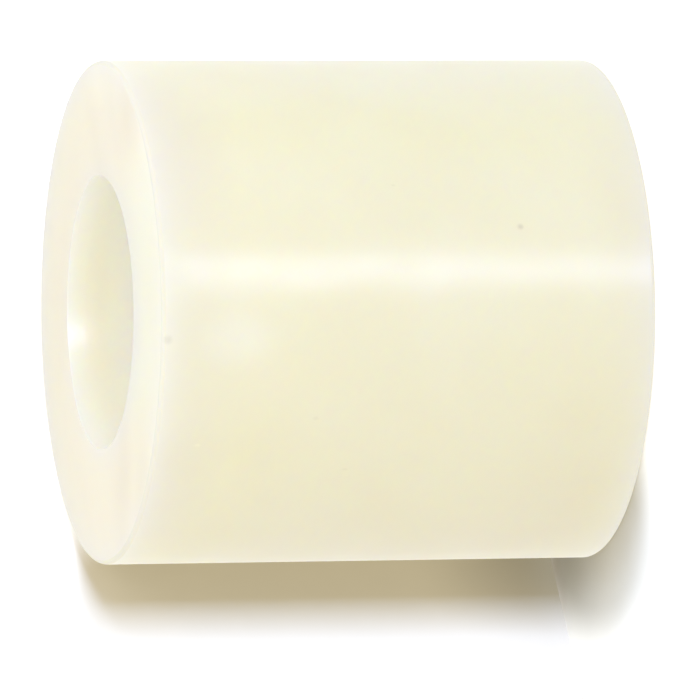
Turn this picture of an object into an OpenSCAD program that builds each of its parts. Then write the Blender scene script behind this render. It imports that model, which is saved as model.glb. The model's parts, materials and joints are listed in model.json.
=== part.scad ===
// Round nylon spacer: a short thick-walled tube with a straight bore from end to end.
// It stands on its lower end. The origin is the middle of that end face,
// and +Z runs up along the bore. Sizes are in millimetres.

/* [Body] */
// Outside diameter
outer_d = 12.7; // [9:0.1:25.4]
// Length from one end face to the other
length = 12.7; // [3:0.1:50]

/* [Bore] */
// Diameter of the through bore, a clearance hole for the screw
bore_d = 6.75; // [3:0.05:8]

/* [Edges] */
// Edge break round the outside of each end face, taken off the face and the side alike
outer_break = 0.12; // [0.02:0.01:0.2]
// Edge break round each mouth of the bore, taken off the face and the wall alike
bore_break = 0.08; // [0.02:0.01:0.2]

/* [Finish] */
// Colour of the nylon
nylon_color = "ivory"; // [ivory, linen, white]

/* [Hidden] */
// Facets of a full turn where the model is drawn as a mesh
turn_facets = 180;
outer_r = outer_d / 2;
bore_r = bore_d / 2;

// Half section of the wall, from the bore at the left to the side at the right,
// with a straight 45 degree break on each of its four edges
module wall_section() {
    polygon([
        [bore_r + bore_break, 0],
        [outer_r - outer_break, 0],
        [outer_r, outer_break],
        [outer_r, length - outer_break],
        [outer_r - outer_break, length],
        [bore_r + bore_break, length],
        [bore_r, length - bore_break],
        [bore_r, bore_break]
    ]);
}

// The spacer, turned in one piece about the axis of its bore
module spacer() {
    color(nylon_color)
        rotate_extrude($fn = turn_facets)
            wall_section();
}

spacer();
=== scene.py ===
"""Round nylon spacer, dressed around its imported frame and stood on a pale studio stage.

The file is laid out as an add-on: property groups hold the sizes and colours, one operator
models the spacer, another sets the stage, and a panel in the sidebar lists them all.
Lengths are in metres, in the frame's own axes: the spacer stands on its lower end at z = 0,
with its bore along Z.
"""

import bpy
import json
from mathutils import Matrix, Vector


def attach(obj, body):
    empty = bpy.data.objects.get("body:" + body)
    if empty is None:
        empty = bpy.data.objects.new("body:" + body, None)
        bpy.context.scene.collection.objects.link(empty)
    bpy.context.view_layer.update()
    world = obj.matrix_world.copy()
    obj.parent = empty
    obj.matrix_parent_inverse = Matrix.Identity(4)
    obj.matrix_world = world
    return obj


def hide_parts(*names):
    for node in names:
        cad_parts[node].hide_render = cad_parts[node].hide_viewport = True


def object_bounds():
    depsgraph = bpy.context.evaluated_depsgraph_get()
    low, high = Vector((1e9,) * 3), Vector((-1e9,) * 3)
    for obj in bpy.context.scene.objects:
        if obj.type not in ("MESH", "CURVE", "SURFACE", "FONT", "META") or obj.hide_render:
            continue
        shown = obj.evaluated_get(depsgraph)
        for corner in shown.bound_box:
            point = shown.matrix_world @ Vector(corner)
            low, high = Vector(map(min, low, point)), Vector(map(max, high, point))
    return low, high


bl_info = {
    "name": "Nylon Spacer",
    "version": (1, 0, 0),
    "blender": (4, 5, 0),
    "location": "View3D > Sidebar > Spacer",
    "description": "Models a round nylon spacer and sets it on a pale studio stage",
    "category": "Object",
}

import json
import math

import bmesh
import bpy
from bpy.props import FloatProperty, FloatVectorProperty, IntProperty, PointerProperty
from mathutils import Quaternion, Vector

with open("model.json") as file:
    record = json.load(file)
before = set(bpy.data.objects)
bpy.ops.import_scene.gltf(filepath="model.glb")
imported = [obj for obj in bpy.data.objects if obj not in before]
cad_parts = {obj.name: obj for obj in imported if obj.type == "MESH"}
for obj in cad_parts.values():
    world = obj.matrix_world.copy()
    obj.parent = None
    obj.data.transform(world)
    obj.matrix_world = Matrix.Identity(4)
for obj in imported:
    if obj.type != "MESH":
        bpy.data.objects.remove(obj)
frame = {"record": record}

MM = 0.001
CAD_LOW, CAD_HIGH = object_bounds()
OUTER_DIAMETER = CAD_HIGH.x - CAD_LOW.x
LENGTH = CAD_HIGH.z - CAD_LOW.z
MOUNTS = {mount["name"]: mount for mount in frame["record"]["mounts"]}
BORE_DIAMETER = 2 * MOUNTS["bore"]["dims"]["r_mm"] * MM
FLOOR_SIZE = 2000 * MM
BACKDROP_SIZE = 200 * MM
# The backdrop touches the spacer's side, faces this azimuth, and reaches this far below the floor
BACKDROP_AZIMUTH = 38
BACKDROP_SUNK = 1 * MM
# Rectangular lamps: azimuth and elevation (degrees), distance from the spacer, width and height
KEY_LAMP = (24, 48, 70 * MM, 35 * MM, 35 * MM)
GLINT_LAMP = (17.4, 6, 250 * MM, 53 * MM, 53 * MM)
BACKDROP_LAMP = (23, 8.3, 300 * MM, 80 * MM, 80 * MM)
FLOOR_LAMP = (74, 81.5, 300 * MM, 40 * MM, 90 * MM)
# The bore's lamp: its depth below the upper end and its radius, as shares of the bore's radius
BORE_LAMP_DEPTH, BORE_LAMP_RADIUS = 0.8, 0.25
# Share of -X in a direction, at which the surround starts to be warm and is fully warm
WARM_SKY_START, WARM_SKY_FULL = -0.2, 0.8
# How far the middle of the frame lies to the right of the spacer's middle, and below it
FRAME_RIGHT, FRAME_DOWN = 0.185 * MM, 0.998 * MM
# Width of the camera's sensor in millimetres, and the nearest and farthest that the camera sees
SENSOR_WIDTH = 36
CLIP_START, CLIP_END = 10 * MM, 10.0
BLACK = (0, 0, 0)
# Painted shade in the corner between floor and backdrop, where little light comes in under the spacer's
# side
CORNER_CENTRE = (-6.3 * MM, 2.5 * MM, 0.0)
CORNER_HALF_SIZE = (3.0 * MM, 5.0 * MM, 4.0 * MM)
CORNER_PAINTED_SHADE = (0.62, 0.62, 0.62)
# Painted shadow on the floor beside the spacer, on the side that the lamps leave in shade: the floor's
# glow is taken away there
FLOOR_SHADE_CENTRE = (-5.8 * MM, -1.0 * MM, 0.0)
FLOOR_SHADE_HALF_SIZE = (3.45 * MM, 7.2 * MM, 3.0 * MM)
FLOOR_SHADE_CORE = 0.49
# Painted shadow on the backdrop along the spacer's side, in the same shade: its glow is taken away there
BACKDROP_SHADE_CENTRE = (-8.5 * MM, 1.4 * MM, 5.5 * MM)
BACKDROP_SHADE_HALF_SIZE = (5.0 * MM, 20 * MM, 9.5 * MM)
# Where floor and backdrop meet below the spacer's side, in the shadow: each is tinted towards the other,
# with painted shade on the floor and painted light on the backdrop
SEAM_CENTRE = (-7.0 * MM, 2.6 * MM, 0.0)
SEAM_HALF_SIZE = (1.8 * MM, 3.4 * MM, 1.0 * MM)
FLOOR_SEAM_PAINTED_SHADE = (0.92, 0.885, 0.80)
BACKDROP_SEAM_PAINTED_LIGHT = (1.05, 1.08, 1.13)
# Painted shade: spots that darken the thin pale strip of light on the floor along the seam: places (X
# and Y, mm) and tints
SEAM_STRIP_PAINTED_SHADE = (
    (-6.75, 2.78, (0.93, 0.88, 0.82)),
    (-7.5, 2.2, (0.90, 0.865, 0.84)),
    (-8.1, 1.73, (0.94, 0.94, 0.96)),
)
STRIP_HALF_SIZE = (0.85 * MM, 0.85 * MM, 0.4 * MM)
# Surfaces of the spacer, in the order of its material slots
SIDE, END, BORE, EDGE = range(4)
# Profile of a bevel
ROUND, STRAIGHT = 0.5, 0.25
# How far a face's normal may lean and still count as lying in an end or along the axis
SLIGHT_LEAN = 0.005
# The same for a face inside the bore, so that its tapered mouths count as bore
MOUTH_LEAN = 0.3
# How close to a plane or a radius a point counts as lying on it
NEAR = 0.002 * MM
# Sockets of a Mix node that mixes colours
MIX_FACTOR, MIX_FIRST, MIX_SECOND, MIX_RESULT = 0, 6, 7, 2
# Values of the cloud noise at which the nylon starts to be milky and is fully milky
CLOUD_START, CLOUD_FULL = 0.34, 0.66
NYLON_IOR = 1.53
# How far red, green and blue light wander under the surface, as shares of the depth
GLOW_SHARES = (1.0, 0.85, 0.45)
# How each surface was cut and how it shines; depth is a share of the finish's glow depth
SIDE_LOOK = {
    "depth": 1.0,
    "mark_pitch": 0.12 * MM,
    "mark_height": 0.0001 * MM,
    "wave_size": 1.6 * MM,
    "wave_height": 0.02 * MM,
    "roughness": 0.375,
    "roughness_drift": 0.10,
    "gloss_patch": 1.2 * MM,
    "specular": 1.0,
    "anisotropic": 0.9,
    "rotation": 0.25,
}
END_LOOK = dict(SIDE_LOOK, roughness=0.38, anisotropic=0.3, wave_height=0.01 * MM)
BORE_LOOK = dict(SIDE_LOOK, depth=0.3, roughness=0.37, roughness_drift=0.03, anisotropic=0.3)
EDGE_LOOK = dict(SIDE_LOOK, roughness=0.75, specular=0.3, anisotropic=0.0)

# How much of a spot's half size is full strength before it starts to fade
SOFT_CORE = 0.1
FIRM_CORE = 0.8
# Spots on the side: what it is, height up the side (mm), angle round it from -Y towards +X (degrees),
# half its width up and round (mm), and the tint that it lays on it. The smudge and the specks are dirt
SIDE_MARKS_AND_PAINTED_SHADE = (
    ("smudge at the upper edge", 12.55, -6.4, 0.17, 0.17, (0.88, 0.88, 0.88)),
    ("dark speck", 3.40, 18.6, 0.12, 0.11, (0.83, 0.83, 0.83)),
    ("faint speck, high", 6.55, 29.0, 0.08, 0.05, (0.94, 0.94, 0.94)),
    ("faint speck, low", 7.70, -38.6, 0.12, 0.06, (0.95, 0.95, 0.95)),
    ("faint speck, middle", 8.65, -25.0, 0.12, 0.08, (0.95, 0.95, 0.95)),
    ("pale speck", 11.60, -31.5, 0.12, 0.06, (1.05, 1.05, 1.05)),
    # A paler, bluer patch near the upper end
    ("paler bluer patch", 10.80, -6.5, 1.40, 1.00, (1.035, 1.04, 1.10)),
    # Painted shade from here on: darker near the ends, on the underside, and at the start of the long
    # highlight by the upper edge
    ("painted shade, lower end", 0.0, -50.0, 5.0, 6.0, (0.945, 0.935, 0.95)),
    ("painted shade, upper end", 12.7, 8.0, 2.7, 9.0, (0.93, 0.935, 1.0)),
    ("painted shade, upper end, high", 12.7, 46.0, 2.8, 4.0, (0.95, 0.94, 1.03)),
    ("painted shade, upper end, low", 12.7, -46.0, 2.2, 4.0, (0.945, 0.94, 1.01)),
    ("painted grey shade, lower end", 0.0, 22.0, 2.0, 7.0, (0.965, 0.945, 0.96)),
    ("shaded underside", 6.35, -80.0, 20.0, 4.0, (0.955, 0.945, 0.94)),
    ("rubbed upper edge with painted shade", 12.7, 9.0, 1.1, 1.8, (0.985, 0.995, 0.97)),
    # Bands along the whole side, a little yellower at these angles round it
    ("yellower band, high", 6.35, 46.0, 20.0, 2.0, (1.0, 1.0, 0.955)),
    ("yellower band, low", 6.35, -40.0, 20.0, 3.0, (0.995, 0.99, 0.965)),
)
# Painted shade in the upper end, which narrows its lit crescent at the top and bottom: what it is,
# place on it (X and Y, mm), half its width (mm) and its tint
END_PAINTED_SHADE_SPOTS = (
    ("painted shade patch, high", 5.3, -2.0, 3.8, (0.87, 0.88, 0.915)),
    ("painted shade patch, low", -4.4, -3.4, 3.0, (0.905, 0.905, 0.91)),
    ("painted shade tip, high", 5.3, -3.6, 1.9, (0.94, 0.925, 0.91)),
    ("painted shade tip, low", -4.5, -4.6, 1.5, (0.965, 0.96, 0.95)),
)
END_SPOT_DEPTH = 1 * MM
# Painted shade on the far part of the upper end, which gets less light through the wall: what lies in a
# large circle. The circle's centre is this far from the bore's axis, on the side away from this azimuth
END_SHADE_AZIMUTH = 17
END_SHADE_OFFSET = 12.05 * MM
END_SHADE_RADIUS = 15 * MM
END_SHADE_CORE = 0.9
END_SHADE_TINT = (0.91, 0.91, 0.92)
# Painted shade in a band on the bore's wall: how far it is below the upper end, its half size and its
# tint
BORE_SHADE_DEPTH = 0.65 * MM
BORE_SHADE_HALF_SIZE = (6.0 * MM, 3.0 * MM, 1.0 * MM)
BORE_SHADE_TINT = (0.92, 0.915, 0.90)
# Where the side's gloss is rubbed off at the upper edge, and how many times rougher it is there
RUBBED_AZIMUTH = 9
RUBBED_HALF_SIZE = (1.6 * MM, 1.6 * MM, 1.1 * MM)
RUBBED_ROUGHENING = (1.45, 1.45, 1.45)


# ---------------------------------------------------------------- sizes and colours


class SpacerSizes(bpy.types.PropertyGroup):
    """Sizes of the spacer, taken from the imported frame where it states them."""

    outer_diameter: FloatProperty(
        name="Outside diameter",
        description="Diameter of the side",
        default=OUTER_DIAMETER,
        unit="LENGTH",
        subtype="DISTANCE",
        precision=5,
    )
    length: FloatProperty(
        name="Length",
        description="Height from the lower end face to the upper one",
        default=LENGTH,
        unit="LENGTH",
        subtype="DISTANCE",
        precision=5,
    )
    bore_diameter: FloatProperty(
        name="Bore diameter",
        description="Diameter of the through bore",
        default=BORE_DIAMETER,
        unit="LENGTH",
        subtype="DISTANCE",
        precision=5,
    )
    outer_break: FloatProperty(
        name="Outer edge break",
        description="Width of the rounding round the outside of each end",
        default=0.10 * MM,
        unit="LENGTH",
        subtype="DISTANCE",
        precision=5,
    )
    bore_break: FloatProperty(
        name="Bore edge break",
        description="Width of the taper at each mouth of the bore",
        default=0.085 * MM,
        unit="LENGTH",
        subtype="DISTANCE",
        precision=5,
    )
    mouth_depth: FloatProperty(
        name="Mouth depth",
        description="How far the taper of each mouth runs down the bore",
        default=0.5 * MM,
        unit="LENGTH",
        subtype="DISTANCE",
        precision=5,
    )
    facets: IntProperty(
        name="Facets",
        description="Faces round a full turn",
        default=256,
        min=32,
        max=512,
    )
    rings: IntProperty(
        name="Rings",
        description="Rings of faces along the side and along the bore",
        default=32,
        min=2,
        max=80,
    )
    end_rings: IntProperty(
        name="End rings",
        description="Rings of faces across each end face",
        default=9,
        min=2,
        max=21,
    )
    break_steps: IntProperty(
        name="Edge break steps",
        description="Rings of faces across each broken edge",
        default=6,
        min=1,
        max=8,
    )


class NylonFinish(bpy.types.PropertyGroup):
    """Colours and surface values of the nylon."""

    clear_colour: FloatVectorProperty(
        name="Clear nylon",
        description="Colour of the side between its clouds",
        default=(0.884, 0.857, 0.702),
        subtype="COLOR",
        size=3,
        min=0,
        max=1,
    )
    milky_colour: FloatVectorProperty(
        name="Milky nylon",
        description="Colour of the clouds in the side",
        default=(0.894, 0.871, 0.728),
        subtype="COLOR",
        size=3,
        min=0,
        max=1,
    )
    end_clear_colour: FloatVectorProperty(
        name="Clear nylon, ends",
        description="Colour of the end faces between their clouds",
        default=(0.975, 0.896, 0.75),
        subtype="COLOR",
        size=3,
        min=0,
        max=1,
    )
    end_milky_colour: FloatVectorProperty(
        name="Milky nylon, ends",
        description="Colour of the clouds in the end faces",
        default=(0.985, 0.906, 0.765),
        subtype="COLOR",
        size=3,
        min=0,
        max=1,
    )
    # The bore's nylon is painted lighter than the side's, to make up for light that doesn't reach into
    # the bore
    bore_clear_colour_with_painted_light: FloatVectorProperty(
        name="Clear nylon, bore",
        description="Colour of the bore's wall between its clouds",
        default=(0.99, 0.97, 0.865),
        subtype="COLOR",
        size=3,
        min=0,
        max=1,
    )
    bore_milky_colour_with_painted_light: FloatVectorProperty(
        name="Milky nylon, bore",
        description="Colour of the clouds in the bore's wall",
        default=(0.995, 0.975, 0.865),
        subtype="COLOR",
        size=3,
        min=0,
        max=1,
    )
    edge_colour: FloatVectorProperty(
        name="Nylon, edges",
        description="Colour of the rounded edges, which are rubbed a little duller",
        default=(0.90, 0.868, 0.675),
        subtype="COLOR",
        size=3,
        min=0,
        max=1,
    )
    cloud_size: FloatProperty(
        name="Cloud size",
        description="Width of one cloud in the nylon",
        default=3.2 * MM,
        unit="LENGTH",
        subtype="DISTANCE",
        precision=5,
    )
    glow_depth: FloatProperty(
        name="Glow depth",
        description="How far light wanders under the surface",
        default=4.5 * MM,
        unit="LENGTH",
        subtype="DISTANCE",
        precision=5,
    )


class StudioSettings(bpy.types.PropertyGroup):
    """Camera, light and stage."""

    camera_elevation: FloatProperty(
        name="Camera elevation",
        description="Height of the camera above the end plane",
        default=math.radians(15.43),
        unit="ROTATION",
        subtype="ANGLE",
    )
    camera_roll: FloatProperty(
        name="Camera roll",
        description="Turn of the camera about its own line of sight",
        default=math.radians(-90.53),
        unit="ROTATION",
        subtype="ANGLE",
    )
    camera_distance: FloatProperty(
        name="Camera distance",
        description="From the middle of the spacer to the camera",
        default=250 * MM,
        unit="LENGTH",
        subtype="DISTANCE",
    )
    camera_lens: FloatProperty(
        name="Lens",
        description="Focal length on a 36 mm sensor",
        default=506.7,
        unit="CAMERA",
    )
    sky_strength: FloatProperty(
        name="Sky",
        description="Brightness of the white surround that lights the spacer",
        default=0.85,
        min=0,
        max=1,
    )
    warm_sky_colour: FloatVectorProperty(
        name="Warm sky",
        description="Colour of the surround towards -X, as if warm card sent light back from there",
        default=(1.0, 0.955, 0.87),
        subtype="COLOR",
        size=3,
        min=0,
        max=1,
    )
    key_share: FloatProperty(
        name="Key light",
        description="Brightness that the key light adds to a white surface that faces it",
        default=0.19,
        min=0,
        max=1,
    )
    glint_share: FloatProperty(
        name="Glint light",
        description="Brightness of the lamp that makes the highlights, counted as for the key light",
        default=0.33,
        min=0,
        max=1,
    )
    glint_colour: FloatVectorProperty(
        name="Glint colour",
        description="Colour of the lamp that makes the highlights",
        default=(0.56, 0.62, 1.0),
        subtype="COLOR",
        size=3,
        min=0,
        max=1,
    )
    bore_share: FloatProperty(
        name="Bore light",
        description="Brightness that the bore's lamp adds to the nearest part of its wall",
        default=0.052,
        min=0,
        max=1,
    )
    backdrop_share: FloatProperty(
        name="Backdrop light",
        description="Brightness that the backdrop's own lamp adds to it outside the shadow",
        default=1.83,
        min=0,
        max=4,
    )
    floor_lamp_colour: FloatVectorProperty(
        name="Floor light colour",
        description="Colour of the floor's lamp, cool enough that warm card reads as white",
        default=(0.55, 0.67, 1.0),
        subtype="COLOR",
        size=3,
        min=0,
        max=1,
    )
    backdrop_lamp_colour: FloatVectorProperty(
        name="Backdrop light colour",
        description="Colour of the backdrop's lamp, cool enough that warm card reads as white",
        default=(0.44, 0.57, 1.0),
        subtype="COLOR",
        size=3,
        min=0,
        max=1,
    )
    floor_share: FloatProperty(
        name="Floor light",
        description="Brightness that the floor's own lamp adds to it outside the shadow",
        default=1.0,
        min=0,
        max=8,
    )
    # The cards are warm so that their shadows look warm: in part painted warm light from the nylon.
    # Their cool lamps make them white where lit.
    floor_colour: FloatVectorProperty(
        name="Floor card",
        description="Colour of the floor",
        default=(0.625, 0.602, 0.525),
        subtype="COLOR",
        size=3,
        min=0,
        max=1,
    )
    backdrop_colour: FloatVectorProperty(
        name="Backdrop card",
        description="Colour of the backdrop",
        default=(0.64, 0.57, 0.425),
        subtype="COLOR",
        size=3,
        min=0,
        max=1,
    )
    floor_glow: FloatVectorProperty(
        name="Floor glow",
        description="Light that the floor adds for the camera outside the spacer's shade",
        default=(0.5, 0.5, 0.5),
        subtype="COLOR",
        size=3,
        min=0,
        max=1,
    )
    backdrop_glow: FloatVectorProperty(
        name="Backdrop glow",
        description="Light that the backdrop adds for the camera, which makes its warm card white",
        default=(0.48, 0.525, 0.62),
        subtype="COLOR",
        size=3,
        min=0,
        max=1,
    )
    fibre_lightness: FloatProperty(
        name="Card fibre",
        description="How many times lighter than the card its fibre is",
        default=1.03,
        min=1,
        max=2,
    )


# ---------------------------------------------------------------- small helpers


def direction(azimuth, elevation):
    """Unit vector from the spacer. Azimuth 0 points along -Y and 90 along +X, in degrees."""
    around, up = math.radians(azimuth), math.radians(elevation)
    return Vector((math.sin(around) * math.cos(up), -math.cos(around) * math.cos(up), math.sin(up)))


def activate(thing):
    """Makes one object the only selected one, and the active one."""
    bpy.ops.object.select_all(action="DESELECT")
    thing.select_set(True)
    bpy.context.view_layer.objects.active = thing


def select_parts(thing, kind, wanted):
    """In edit mode, selects only the faces, edges or vertices that wanted(part) accepts."""
    bpy.ops.mesh.select_mode(type=kind)
    bpy.ops.mesh.select_all(action="DESELECT")
    mesh = bmesh.from_edit_mesh(thing.data)
    parts = {"FACE": mesh.faces, "EDGE": mesh.edges, "VERT": mesh.verts}[kind]
    chosen = [part for part in parts if wanted(part)]
    if not chosen:
        raise RuntimeError(f"nothing to select on {thing.name}")
    for part in chosen:
        part.select_set(True)
    bmesh.update_edit_mesh(thing.data)


def fill(tree, socket, value):
    """Gives a socket a link or a plain value."""
    if isinstance(value, bpy.types.NodeSocket):
        tree.links.new(value, socket)
    else:
        socket.default_value = value


def add_node(tree, kind, inputs=None, **settings):
    """Adds a node, sets its properties, and fills its inputs by name or by number."""
    node = tree.nodes.new(kind)
    for name, value in settings.items():
        setattr(node, name, value)
    for name, value in (inputs or {}).items():
        fill(tree, node.inputs[name], value)
    return node


def calculate(tree, operation, *values):
    """Adds a Math node and returns its result."""
    return add_node(tree, "ShaderNodeMath", dict(enumerate(values)), operation=operation).outputs[0]


def mix_colours(tree, factor, first, second):
    """Adds a Mix node for colours and returns its result."""
    node = add_node(tree, "ShaderNodeMix", {MIX_FACTOR: factor}, data_type="RGBA")
    fill(tree, node.inputs[MIX_FIRST], first)
    fill(tree, node.inputs[MIX_SECOND], second)
    return node.outputs[MIX_RESULT]


def soft_step(tree, value, low, high):
    """Adds a smooth step that rises from 0 at low to 1 at high."""
    node = add_node(
        tree,
        "ShaderNodeMapRange",
        {"Value": value, "From Min": low, "From Max": high},
        interpolation_type="SMOOTHSTEP",
    )
    return node.outputs["Result"]


def new_group(name, inputs, outputs):
    """Starts a shader node group with named sockets; returns it with its input and output nodes."""
    group = bpy.data.node_groups.new(name, "ShaderNodeTree")
    for socket_name, kind, default in inputs:
        socket = group.interface.new_socket(name=socket_name, in_out="INPUT", socket_type=kind)
        if default is not None:
            socket.default_value = default
    for socket_name, kind in outputs:
        group.interface.new_socket(name=socket_name, in_out="OUTPUT", socket_type=kind)
    return group, group.nodes.new("NodeGroupInput"), group.nodes.new("NodeGroupOutput")


def rgba(colour):
    """A colour with full alpha."""
    return (*colour, 1.0)


# ---------------------------------------------------------------- effects that materials share


def clouds_group():
    """Milky clouds: mixes two colours by a soft noise in the depth of the nylon."""
    group, given, result = new_group(
        "nylon_clouds",
        [
            ("Position", "NodeSocketVector", None),
            ("Clear Colour", "NodeSocketColor", (1, 1, 1, 1)),
            ("Milky Colour", "NodeSocketColor", (1, 1, 1, 1)),
            ("Cloud Size", "NodeSocketFloat", 2 * MM),
        ],
        [("Colour", "NodeSocketColor")],
    )
    scale = calculate(group, "DIVIDE", 1.0, given.outputs["Cloud Size"])
    noise = add_node(
        group,
        "ShaderNodeTexNoise",
        {"Vector": given.outputs["Position"], "Scale": scale, "Detail": 2.0, "Roughness": 0.5},
    )
    cloud = soft_step(group, noise.outputs["Fac"], CLOUD_START, CLOUD_FULL)
    colour = mix_colours(group, cloud, given.outputs["Clear Colour"], given.outputs["Milky Colour"])
    fill(group, result.inputs["Colour"], colour)
    return group


def machining_group():
    """Turned surface: the height, in metres, of fine marks round the axis on long low waves."""
    group, given, result = new_group(
        "turned_surface",
        [
            ("Position", "NodeSocketVector", None),
            ("Mark Pitch", "NodeSocketFloat", 0.1 * MM),
            ("Mark Height", "NodeSocketFloat", 0.0),
            ("Wave Size", "NodeSocketFloat", 2 * MM),
            ("Wave Height", "NodeSocketFloat", 0.0),
        ],
        [("Height", "NodeSocketFloat")],
    )
    place = add_node(group, "ShaderNodeSeparateXYZ", {0: given.outputs["Position"]}).outputs
    flat = add_node(group, "ShaderNodeCombineXYZ", {"X": place["X"], "Y": place["Y"]}).outputs[0]
    radius = add_node(group, "ShaderNodeVectorMath", {0: flat}, operation="LENGTH").outputs["Value"]
    around = add_node(
        group, "ShaderNodeVectorMath", {0: flat}, operation="NORMALIZE"
    ).outputs["Vector"]
    # The tool's path runs along Z on the side and the bore, and along the radius on the ends
    reach = calculate(group, "ADD", place["Z"], radius)
    travel = calculate(group, "DIVIDE", reach, given.outputs["Mark Pitch"])
    climb = add_node(group, "ShaderNodeCombineXYZ", {"Z": travel}).outputs[0]
    path = add_node(
        group, "ShaderNodeVectorMath", {0: around, 1: climb}, operation="ADD"
    ).outputs["Vector"]
    marks = add_node(group, "ShaderNodeTexNoise", {"Vector": path, "Scale": 1.0, "Detail": 2.0})
    wave_scale = calculate(group, "DIVIDE", 1.0, given.outputs["Wave Size"])
    waves = add_node(
        group,
        "ShaderNodeTexNoise",
        {"Vector": given.outputs["Position"], "Scale": wave_scale, "Detail": 1.0},
    )
    mark_height = calculate(group, "MULTIPLY", marks.outputs["Fac"], given.outputs["Mark Height"])
    wave_height = calculate(group, "MULTIPLY", waves.outputs["Fac"], given.outputs["Wave Height"])
    fill(group, result.inputs["Height"], calculate(group, "ADD", mark_height, wave_height))
    return group


def gloss_group():
    """Uneven gloss: a roughness that drifts from patch to patch."""
    group, given, result = new_group(
        "uneven_gloss",
        [
            ("Position", "NodeSocketVector", None),
            ("Roughness", "NodeSocketFloat", 0.4),
            ("Drift", "NodeSocketFloat", 0.05),
            ("Patch Size", "NodeSocketFloat", 1 * MM),
        ],
        [("Roughness", "NodeSocketFloat")],
    )
    scale = calculate(group, "DIVIDE", 1.0, given.outputs["Patch Size"])
    noise = add_node(
        group, "ShaderNodeTexNoise", {"Vector": given.outputs["Position"], "Scale": scale, "Detail": 2.0}
    )
    # The noise lies between 0 and 1 round a middle of 0.5, and the drift goes as far up as down
    centred = calculate(group, "SUBTRACT", noise.outputs["Fac"], 0.5)
    span = calculate(group, "MULTIPLY", given.outputs["Drift"], 2.0)
    drift = calculate(group, "MULTIPLY", centred, span)
    fill(group, result.inputs["Roughness"], calculate(group, "ADD", given.outputs["Roughness"], drift))
    return group


def spot_group():
    """Soft oval spot: multiplies a colour by a tint that fades out at the spot's edge."""
    group, given, result = new_group(
        "soft_spot",
        [
            ("Position", "NodeSocketVector", None),
            ("Colour", "NodeSocketColor", (1, 1, 1, 1)),
            ("Centre", "NodeSocketVector", None),
            ("Half Size", "NodeSocketVector", (MM, MM, MM)),
            ("Core", "NodeSocketFloat", SOFT_CORE),
            ("Tint", "NodeSocketVector", (1, 1, 1)),
        ],
        [("Colour", "NodeSocketColor")],
    )
    offset = add_node(
        group,
        "ShaderNodeVectorMath",
        {0: given.outputs["Position"], 1: given.outputs["Centre"]},
        operation="SUBTRACT",
    ).outputs["Vector"]
    scaled = add_node(
        group, "ShaderNodeVectorMath", {0: offset, 1: given.outputs["Half Size"]}, operation="DIVIDE"
    ).outputs["Vector"]
    distance = add_node(
        group, "ShaderNodeVectorMath", {0: scaled}, operation="LENGTH"
    ).outputs["Value"]
    fade = soft_step(group, distance, given.outputs["Core"], 1.0)
    tint = mix_colours(group, fade, given.outputs["Tint"], (1, 1, 1, 1))
    tinted = add_node(
        group, "ShaderNodeVectorMath", {0: given.outputs["Colour"], 1: tint}, operation="MULTIPLY"
    ).outputs["Vector"]
    fill(group, result.inputs["Colour"], tinted)
    return group


def paper_group():
    """Paper: a colour with a faint fibre."""
    group, given, result = new_group(
        "paper_fibre",
        [
            ("Position", "NodeSocketVector", None),
            ("Colour", "NodeSocketColor", (1, 1, 1, 1)),
            ("Fibre Colour", "NodeSocketColor", (1, 1, 1, 1)),
            ("Fibre Size", "NodeSocketFloat", 1 * MM),
        ],
        [("Colour", "NodeSocketColor")],
    )
    scale = calculate(group, "DIVIDE", 1.0, given.outputs["Fibre Size"])
    noise = add_node(
        group, "ShaderNodeTexNoise", {"Vector": given.outputs["Position"], "Scale": scale, "Detail": 2.0}
    )
    colour = mix_colours(
        group, noise.outputs["Fac"], given.outputs["Colour"], given.outputs["Fibre Colour"]
    )
    fill(group, result.inputs["Colour"], colour)
    return group


# ---------------------------------------------------------------- materials


def new_material(name):
    """Starts a node material; returns it with its tree and its output node."""
    material = bpy.data.materials.new(name)
    material.use_nodes = True
    material.node_tree.nodes.clear()
    return material, material.node_tree, material.node_tree.nodes.new("ShaderNodeOutputMaterial")


def object_position(tree):
    """Position on the object, in metres."""
    return tree.nodes.new("ShaderNodeTexCoord").outputs["Object"]


def add_spots(tree, position, colour, spot, spots):
    """Adds soft spots to a colour: each has a label, a centre, half sizes, a core and a tint."""
    for label, centre, half_size, core, tint in spots:
        node = add_node(tree, "ShaderNodeGroup", node_tree=spot, label=label)
        fill(tree, node.inputs["Position"], position)
        fill(tree, node.inputs["Colour"], colour)
        node.inputs["Centre"].default_value = centre
        node.inputs["Half Size"].default_value = half_size
        node.inputs["Core"].default_value = core
        node.inputs["Tint"].default_value = tint
        colour = node.outputs["Colour"]
    return colour


def side_marks_and_painted_shade(sizes):
    """The named spots of the side, each at its place on it: specks, painted shade, a paler patch and
    yellower bands.
    """
    spots = []
    for label, height, angle, half_up, half_round, tint in SIDE_MARKS_AND_PAINTED_SHADE:
        centre = direction(angle, 0) * sizes.outer_diameter / 2
        centre.z = height * MM
        half_size = (half_round * MM, half_round * MM, half_up * MM)
        spots.append((label, centre, half_size, SOFT_CORE, tint))
    return spots


def end_painted_shade(sizes):
    """Painted shade on the upper end: its far part, away from -Y, and the named spots of that end."""
    centre = -direction(END_SHADE_AZIMUTH, 0) * END_SHADE_OFFSET
    centre.z = sizes.length
    spots = [("painted shade, far part", centre, (END_SHADE_RADIUS,) * 3, END_SHADE_CORE, END_SHADE_TINT)]
    for label, x, y, half_width, tint in END_PAINTED_SHADE_SPOTS:
        centre = Vector((x * MM, y * MM, sizes.length))
        half_size = (half_width * MM, half_width * MM, END_SPOT_DEPTH)
        spots.append((label, centre, half_size, SOFT_CORE, tint))
    return spots


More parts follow.
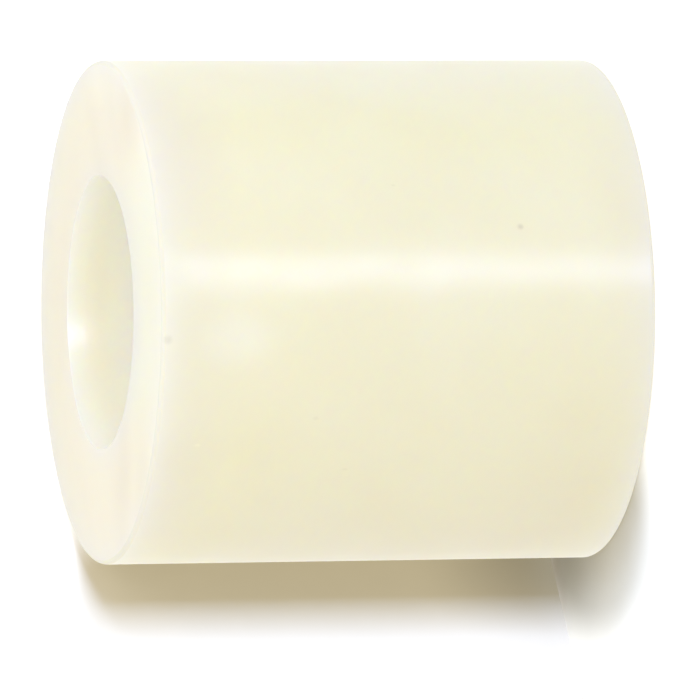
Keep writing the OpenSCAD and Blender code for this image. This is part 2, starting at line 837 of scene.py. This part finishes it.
def bore_painted_shade(sizes):
    """Painted shade on the bore's wall under the upper mouth, away from -Y."""
    centre = Vector((0, sizes.bore_diameter / 2, sizes.length - BORE_SHADE_DEPTH))
    return [("painted shade band", centre, BORE_SHADE_HALF_SIZE, SOFT_CORE, BORE_SHADE_TINT)]


def rubbed_places(sizes):
    """The place on the side whose gloss is rubbed off: the upper edge under the long highlight."""
    centre = direction(RUBBED_AZIMUTH, 0) * sizes.outer_diameter / 2
    centre.z = sizes.length
    return [("rubbed upper edge with painted shade", centre, RUBBED_HALF_SIZE, SOFT_CORE, RUBBED_ROUGHENING)]


def seam_strip_painted_shade():
    """The spots of painted shade on the floor along the seam."""
    return [
        ("seam strip", (x * MM, y * MM, 0.0), STRIP_HALF_SIZE, SOFT_CORE, tint)
        for x, y, tint in SEAM_STRIP_PAINTED_SHADE
    ]


def nylon_material(name, groups, finish, clear, milky, look, spots=(), rubbed=()):
    """Milky nylon: one surface, with its look, its spots of colour, painted shade among them, and its
    rubbed places.
    """
    material, tree, output = new_material(name)
    position = object_position(tree)
    colour = add_node(tree, "ShaderNodeGroup", node_tree=groups["clouds"])
    fill(tree, colour.inputs["Position"], position)
    colour.inputs["Clear Colour"].default_value = rgba(clear)
    colour.inputs["Milky Colour"].default_value = rgba(milky)
    colour.inputs["Cloud Size"].default_value = finish.cloud_size
    base = add_spots(tree, position, colour.outputs["Colour"], groups["spot"], spots)
    surface = add_node(tree, "ShaderNodeGroup", node_tree=groups["machining"])
    fill(tree, surface.inputs["Position"], position)
    surface.inputs["Mark Pitch"].default_value = look["mark_pitch"]
    surface.inputs["Mark Height"].default_value = look["mark_height"]
    surface.inputs["Wave Size"].default_value = look["wave_size"]
    surface.inputs["Wave Height"].default_value = look["wave_height"]
    bump = add_node(tree, "ShaderNodeBump", {"Height": surface.outputs["Height"], "Distance": 1.0})
    gloss = add_node(tree, "ShaderNodeGroup", node_tree=groups["gloss"])
    fill(tree, gloss.inputs["Position"], position)
    gloss.inputs["Roughness"].default_value = look["roughness"]
    gloss.inputs["Drift"].default_value = look["roughness_drift"]
    gloss.inputs["Patch Size"].default_value = look["gloss_patch"]
    roughness = add_spots(tree, position, gloss.outputs["Roughness"], groups["spot"], rubbed)
    shader = add_node(
        tree,
        "ShaderNodeBsdfPrincipled",
        {
            "Base Color": base,
            "Roughness": roughness,
            "Normal": bump.outputs["Normal"],
            "Subsurface Weight": 1.0,
            "Subsurface Radius": GLOW_SHARES,
            "Subsurface Scale": look["depth"] * finish.glow_depth,
            "IOR": NYLON_IOR,
            "Specular IOR Level": look["specular"],
            "Anisotropic": look["anisotropic"],
            "Anisotropic Rotation": look["rotation"],
        },
    )
    tangent = add_node(tree, "ShaderNodeTangent", direction_type="RADIAL", axis="Z")
    fill(tree, shader.inputs["Tangent"], tangent.outputs["Tangent"])
    fill(tree, output.inputs["Surface"], shader.outputs["BSDF"])
    return material


def seen_directly(tree):
    """1 for rays from the camera, a mirror or glass, and 0 for rays that carry light."""
    path = tree.nodes.new("ShaderNodeLightPath")
    mirrored = calculate(
        tree, "MAXIMUM", path.outputs["Is Glossy Ray"], path.outputs["Is Transmission Ray"]
    )
    return calculate(tree, "MAXIMUM", path.outputs["Is Camera Ray"], mirrored)


def card_material(name, groups, colour, lightness, glow, shade, seam_painted_light_and_shade, strip=()):
    """Warm card, which its cool lamp makes white, and which glows for the camera outside the shade. The
    warmth in its shadow is in part painted warm light from the nylon.
    """
    material, tree, output = new_material(name)
    position = object_position(tree)
    sheet = add_node(tree, "ShaderNodeGroup", node_tree=groups["paper"])
    fill(tree, sheet.inputs["Position"], position)
    sheet.inputs["Colour"].default_value = rgba(colour)
    sheet.inputs["Fibre Colour"].default_value = rgba(part * lightness for part in colour)
    # Painted shade in the corner and along the floor's strip; at the seam, painted shade on the floor
    # and painted light on the backdrop
    tints = [
        ("corner", CORNER_CENTRE, CORNER_HALF_SIZE, SOFT_CORE, CORNER_PAINTED_SHADE),
        ("seam", SEAM_CENTRE, SEAM_HALF_SIZE, SOFT_CORE, seam_painted_light_and_shade),
        *strip,
    ]
    shaded = add_spots(tree, position, sheet.outputs["Colour"], groups["spot"], tints)
    diffuse = add_node(tree, "ShaderNodeBsdfDiffuse", {"Color": shaded})
    # Painted shadow: the glow is taken away inside the shade spot
    lit = add_spots(tree, position, rgba(glow), groups["spot"], [shade])
    added = add_node(tree, "ShaderNodeEmission", {"Color": lit, "Strength": seen_directly(tree)})
    surface = add_node(tree, "ShaderNodeAddShader", {0: diffuse.outputs[0], 1: added.outputs[0]})
    fill(tree, output.inputs["Surface"], surface.outputs[0])
    return material


def floor_material(groups, studio):
    """Card of the floor."""
    shade = ("shaded side", FLOOR_SHADE_CENTRE, FLOOR_SHADE_HALF_SIZE, FLOOR_SHADE_CORE, BLACK)
    return card_material(
        "floor_card",
        groups,
        studio.floor_colour,
        studio.fibre_lightness,
        studio.floor_glow,
        shade,
        FLOOR_SEAM_PAINTED_SHADE,
        seam_strip_painted_shade(),
    )


def backdrop_material(groups, studio):
    """Card of the backdrop, clear from behind."""
    shade = ("shaded side", BACKDROP_SHADE_CENTRE, BACKDROP_SHADE_HALF_SIZE, FIRM_CORE, BLACK)
    material = card_material(
        "backdrop_card",
        groups,
        studio.backdrop_colour,
        studio.fibre_lightness,
        studio.backdrop_glow,
        shade,
        BACKDROP_SEAM_PAINTED_LIGHT,
    )
    tree = material.node_tree
    output = tree.get_output_node("ALL")
    card = output.inputs["Surface"].links[0].from_socket
    back = tree.nodes.new("ShaderNodeNewGeometry").outputs["Backfacing"]
    clear = tree.nodes.new("ShaderNodeBsdfTransparent").outputs[0]
    surface = add_node(tree, "ShaderNodeMixShader", {0: back, 1: card, 2: clear})
    fill(tree, output.inputs["Surface"], surface.outputs[0])
    return material


# ---------------------------------------------------------------- the spacer


def model_tube(sizes):
    """A solid cylinder whose end faces are inset and bridged, so that the bore goes through."""
    outer_radius = sizes.outer_diameter / 2
    bore_radius = sizes.bore_diameter / 2

    def is_end(face):
        return len(face.verts) == sizes.facets

    bpy.ops.object.select_all(action="DESELECT")
    bpy.ops.mesh.primitive_cylinder_add(
        vertices=sizes.facets,
        radius=outer_radius,
        depth=sizes.length,
        location=(0, 0, sizes.length / 2),
    )
    tube = bpy.context.object
    tube.name = tube.data.name = "nylon_spacer"
    bpy.ops.object.transform_apply(location=True, rotation=True, scale=True)
    bpy.ops.object.mode_set(mode="EDIT")
    select_parts(tube, "FACE", is_end)
    bpy.ops.mesh.inset(thickness=outer_radius - bore_radius)
    bpy.ops.mesh.bridge_edge_loops()
    return tube


def break_edges(tube, sizes):
    """Breaks the four circular edges: rounds the two outer ones, then bevels the bore's mouths."""
    outer_radius = sizes.outer_diameter / 2
    bore_radius = sizes.bore_diameter / 2
    for radius, width, profile in (
        (outer_radius, sizes.outer_break, ROUND),
        (bore_radius, sizes.bore_break, STRAIGHT),
    ):

        def on_circle(edge):
            points = [vertex.co for vertex in edge.verts]
            return abs(points[0].z - points[1].z) < NEAR and all(
                abs(point.xy.length - radius) < NEAR for point in points
            )

        select_parts(tube, "EDGE", on_circle)
        bpy.ops.mesh.bevel(
            offset=width, segments=sizes.break_steps, profile=profile, affect="EDGES"
        )


def deepen_mouths(tube, sizes):
    """Stretches the bevels of the bore's mouths down the bore, into long straight tapers."""
    widest = sizes.bore_diameter / 2 + sizes.bore_break - NEAR
    for mouth, inward in ((0, 1), (sizes.length, -1)):

        def in_mouth(vertex):
            depth = (vertex.co.z - mouth) * inward
            return vertex.co.xy.length < widest and depth < sizes.bore_break + NEAR

        select_parts(tube, "VERT", in_mouth)
        bpy.ops.transform.resize(
            value=(1, 1, sizes.mouth_depth / sizes.bore_break), center_override=(0, 0, mouth)
        )


def divide_walls(tube, sizes):
    """Divides the long faces of the side and the bore into rings, and the end faces too."""
    wall = (sizes.outer_diameter - sizes.bore_diameter) / 2

    def upright(edge):
        return abs(edge.verts[0].co.z - edge.verts[1].co.z) > sizes.length / 2

    def radial(edge):
        return abs(edge.verts[0].co.xy.length - edge.verts[1].co.xy.length) > wall / 2

    select_parts(tube, "EDGE", upright)
    bpy.ops.mesh.subdivide(number_cuts=sizes.rings - 1)
    select_parts(tube, "EDGE", radial)
    bpy.ops.mesh.subdivide(number_cuts=sizes.end_rings - 1)


def assign_surfaces(tube, sizes):
    """Gives each face the material of its surface: an end, the bore, an outer edge, or the side."""
    middle_radius = (sizes.outer_diameter + sizes.bore_diameter) / 4
    mesh = bmesh.from_edit_mesh(tube.data)
    mesh.normal_update()
    for face in mesh.faces:
        lean = abs(face.normal.z)
        if lean > 1 - SLIGHT_LEAN:
            face.material_index = END
        elif face.calc_center_median().xy.length < middle_radius and lean < MOUTH_LEAN:
            face.material_index = BORE
        elif lean > SLIGHT_LEAN:
            face.material_index = EDGE
        else:
            face.material_index = SIDE
    bmesh.update_edit_mesh(tube.data)


def mark_borders(tube):
    """Marks the borders between the surfaces as sharp, so that each is shaded by itself."""

    def between_surfaces(edge):
        return len({face.material_index for face in edge.link_faces}) > 1

    select_parts(tube, "EDGE", between_surfaces)
    bpy.ops.mesh.mark_sharp()


class SPACER_OT_turn_spacer(bpy.types.Operator):
    """Models the spacer, gives each surface its nylon, and stands it in for the frame's solid"""

    bl_idname = "spacer.turn_spacer"
    bl_label = "Turn Spacer"
    bl_options = {"REGISTER", "UNDO"}

    def execute(self, context):
        sizes = context.scene.spacer_sizes
        finish = context.scene.nylon_finish
        tube = model_tube(sizes)
        break_edges(tube, sizes)
        deepen_mouths(tube, sizes)
        divide_walls(tube, sizes)
        assign_surfaces(tube, sizes)
        mark_borders(tube)
        bpy.ops.mesh.select_all(action="SELECT")
        bpy.ops.mesh.normals_make_consistent(inside=False)
        bpy.ops.object.mode_set(mode="OBJECT")
        activate(tube)
        bpy.ops.object.shade_smooth()
        groups = {
            "clouds": clouds_group(),
            "machining": machining_group(),
            "gloss": gloss_group(),
            "spot": spot_group(),
        }
        side = nylon_material(
            "nylon_side",
            groups,
            finish,
            finish.clear_colour,
            finish.milky_colour,
            SIDE_LOOK,
            side_marks_and_painted_shade(sizes),
            rubbed_places(sizes),
        )
        end = nylon_material(
            "nylon_end",
            groups,
            finish,
            finish.end_clear_colour,
            finish.end_milky_colour,
            END_LOOK,
            end_painted_shade(sizes),
        )
        bore = nylon_material(
            "nylon_bore",
            groups,
            finish,
            finish.bore_clear_colour_with_painted_light,
            finish.bore_milky_colour_with_painted_light,
            BORE_LOOK,
            bore_painted_shade(sizes),
        )
        edge = nylon_material(
            "nylon_edge",
            groups,
            finish,
            finish.edge_colour,
            finish.edge_colour,
            EDGE_LOOK,
            side_marks_and_painted_shade(sizes),
        )
        for material in (side, end, bore, edge):
            tube.data.materials.append(material)
        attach(tube, "root")
        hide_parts("spacer")
        return {"FINISHED"}


# ---------------------------------------------------------------- the stage


def add_sheet(name, size, location, facing):
    """A flat square sheet that faces one way, applied in place."""
    bpy.ops.object.select_all(action="DESELECT")
    turn = facing.to_track_quat("Z", "Y").to_euler()
    bpy.ops.mesh.primitive_plane_add(size=size, location=location, rotation=turn)
    sheet = bpy.context.object
    sheet.name = sheet.data.name = name
    bpy.ops.object.transform_apply(location=True, rotation=True, scale=True)
    return sheet


def add_lamp(name, target, placing, share):
    """A soft rectangular lamp that adds the given brightness to a white surface that faces it."""
    azimuth, elevation, distance, width, height = placing
    towards = direction(azimuth, elevation)
    power = share * (math.pi * distance) ** 2
    bpy.ops.object.light_add(type="AREA", location=target + towards * distance)
    lamp = bpy.context.object
    lamp.name = lamp.data.name = name
    lamp.rotation_euler = towards.to_track_quat("Z", "Y").to_euler()
    lamp.data.shape = "RECTANGLE"
    lamp.data.size = width
    lamp.data.size_y = height
    lamp.data.energy = power
    lamp.visible_camera = False
    return lamp


def add_bore_lamp(sizes, studio):
    """A faint lamp on the bore's axis, which makes up for the bounces that a render leaves out."""
    radius = sizes.bore_diameter / 2
    place = Vector((0, 0, sizes.length - BORE_LAMP_DEPTH * radius))
    bpy.ops.object.light_add(type="POINT", location=place)
    lamp = bpy.context.object
    lamp.name = lamp.data.name = "bore_lamp"
    lamp.data.shadow_soft_size = BORE_LAMP_RADIUS * radius
    lamp.data.energy = studio.bore_share * (2 * math.pi * radius) ** 2
    lamp.visible_camera = False
    lamp.visible_glossy = False


def keep_light_on(lamp, stage_part, spacer):
    """Keeps a lamp's light on one part of the stage, where only the spacer casts its shadow."""
    lit = bpy.data.collections.new(lamp.name + "_lights")
    lit.objects.link(stage_part)
    lamp.light_linking.receiver_collection = lit
    shading = bpy.data.collections.new(lamp.name + "_shadows")
    shading.objects.link(spacer)
    lamp.light_linking.blocker_collection = shading


def add_camera(studio, target):
    """Camera at the set elevation, distance and roll, with the spacer a little above its middle."""
    towards = direction(0, math.degrees(studio.camera_elevation))
    turn = towards.to_track_quat("Z", "Y") @ Quaternion((0, 0, 1), studio.camera_roll)
    right = turn @ Vector((1, 0, 0))
    up = turn @ Vector((0, 1, 0))
    aside = right * FRAME_RIGHT - up * FRAME_DOWN
    bpy.ops.object.camera_add(location=target + aside + towards * studio.camera_distance)
    camera = bpy.context.object
    camera.name = camera.data.name = "camera"
    camera.rotation_mode = "QUATERNION"
    camera.rotation_quaternion = turn
    camera.data.sensor_width = SENSOR_WIDTH
    camera.data.lens = studio.camera_lens
    camera.data.clip_start = CLIP_START
    camera.data.clip_end = CLIP_END
    bpy.context.scene.camera = camera


def light_world(studio):
    """White surround: plain white where it is seen, and dimmer and warmer from -X where it lights."""
    world = bpy.data.worlds.new("studio")
    world.use_nodes = True
    tree = world.node_tree
    tree.nodes.clear()
    towards = tree.nodes.new("ShaderNodeTexCoord").outputs["Generated"]
    across = add_node(tree, "ShaderNodeSeparateXYZ", {0: towards}).outputs["X"]
    warmth = soft_step(
        tree, calculate(tree, "MULTIPLY", across, -1.0), WARM_SKY_START, WARM_SKY_FULL
    )
    colour = mix_colours(tree, warmth, (1, 1, 1, 1), rgba(studio.warm_sky_colour))
    sky = add_node(tree, "ShaderNodeBackground", {"Color": colour, "Strength": studio.sky_strength})
    white = add_node(tree, "ShaderNodeBackground", {"Color": (1, 1, 1, 1), "Strength": 1.0})
    either = add_node(
        tree, "ShaderNodeMixShader", {0: seen_directly(tree), 1: sky.outputs[0], 2: white.outputs[0]}
    )
    output = tree.nodes.new("ShaderNodeOutputWorld")
    fill(tree, output.inputs["Surface"], either.outputs[0])
    bpy.context.scene.world = world


class SPACER_OT_set_stage(bpy.types.Operator):
    """Sets the floor, the backdrop, the lamps, the surround and the camera"""

    bl_idname = "spacer.set_stage"
    bl_label = "Set Stage"
    bl_options = {"REGISTER", "UNDO"}

    def execute(self, context):
        sizes = context.scene.spacer_sizes
        studio = context.scene.studio
        radius = sizes.outer_diameter / 2
        centre = Vector((0, 0, sizes.length / 2))
        spacer = bpy.data.objects["nylon_spacer"]
        groups = {"paper": paper_group(), "spot": spot_group()}
        floor = add_sheet("floor", FLOOR_SIZE, (0, 0, 0), Vector((0, 0, 1)))
        floor.data.materials.append(floor_material(groups, studio))
        facing = direction(BACKDROP_AZIMUTH, 0)
        place = -facing * radius
        place.z = BACKDROP_SIZE / 2 - BACKDROP_SUNK
        backdrop = add_sheet("backdrop", BACKDROP_SIZE, place, facing)
        backdrop.data.materials.append(backdrop_material(groups, studio))
        for sheet in (floor, backdrop):
            sheet.visible_diffuse = False
            sheet.visible_glossy = False
            sheet.visible_transmission = False
            sheet.visible_shadow = False
        key = add_lamp("key", centre, KEY_LAMP, studio.key_share)
        key.visible_glossy = False
        glint = add_lamp("glint_lamp", centre, GLINT_LAMP, studio.glint_share)
        glint.visible_diffuse = False
        glint.data.color = studio.glint_colour
        add_bore_lamp(sizes, studio)
        backdrop_lamp = add_lamp("backdrop_lamp", centre, BACKDROP_LAMP, studio.backdrop_share)
        floor_lamp = add_lamp("floor_lamp", centre, FLOOR_LAMP, studio.floor_share)
        backdrop_lamp.data.color = studio.backdrop_lamp_colour
        floor_lamp.data.color = studio.floor_lamp_colour
        keep_light_on(backdrop_lamp, backdrop, spacer)
        keep_light_on(floor_lamp, floor, spacer)
        light_world(studio)
        add_camera(studio, centre)
        context.scene.view_settings.view_transform = "Standard"
        return {"FINISHED"}


# ---------------------------------------------------------------- add-on


class SPACER_PT_panel(bpy.types.Panel):
    """Lists the spacer's sizes, its finish and the studio, with a button for each operator"""

    bl_idname = "SPACER_PT_panel"
    bl_label = "Nylon Spacer"
    bl_space_type = "VIEW_3D"
    bl_region_type = "UI"
    bl_category = "Spacer"

    def draw(self, context):
        for group in (context.scene.spacer_sizes, context.scene.nylon_finish, context.scene.studio):
            box = self.layout.box()
            for name in group.bl_rna.properties.keys():
                if name not in ("rna_type", "name"):
                    box.prop(group, name)
        self.layout.operator(SPACER_OT_turn_spacer.bl_idname)
        self.layout.operator(SPACER_OT_set_stage.bl_idname)


CLASSES = (
    SpacerSizes,
    NylonFinish,
    StudioSettings,
    SPACER_OT_turn_spacer,
    SPACER_OT_set_stage,
    SPACER_PT_panel,
)


def register():
    """Registers the classes and gives the scene its settings."""
    for item in CLASSES:
        bpy.utils.register_class(item)
    bpy.types.Scene.spacer_sizes = PointerProperty(type=SpacerSizes)
    bpy.types.Scene.nylon_finish = PointerProperty(type=NylonFinish)
    bpy.types.Scene.studio = PointerProperty(type=StudioSettings)


def unregister():
    """Takes the settings and the classes away again."""
    del bpy.types.Scene.studio
    del bpy.types.Scene.nylon_finish
    del bpy.types.Scene.spacer_sizes
    for item in reversed(CLASSES):
        bpy.utils.unregister_class(item)


def main():
    """Models the spacer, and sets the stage."""
    register()
    bpy.ops.spacer.turn_spacer()
    bpy.ops.spacer.set_stage()


if __name__ == "__main__":
    main()
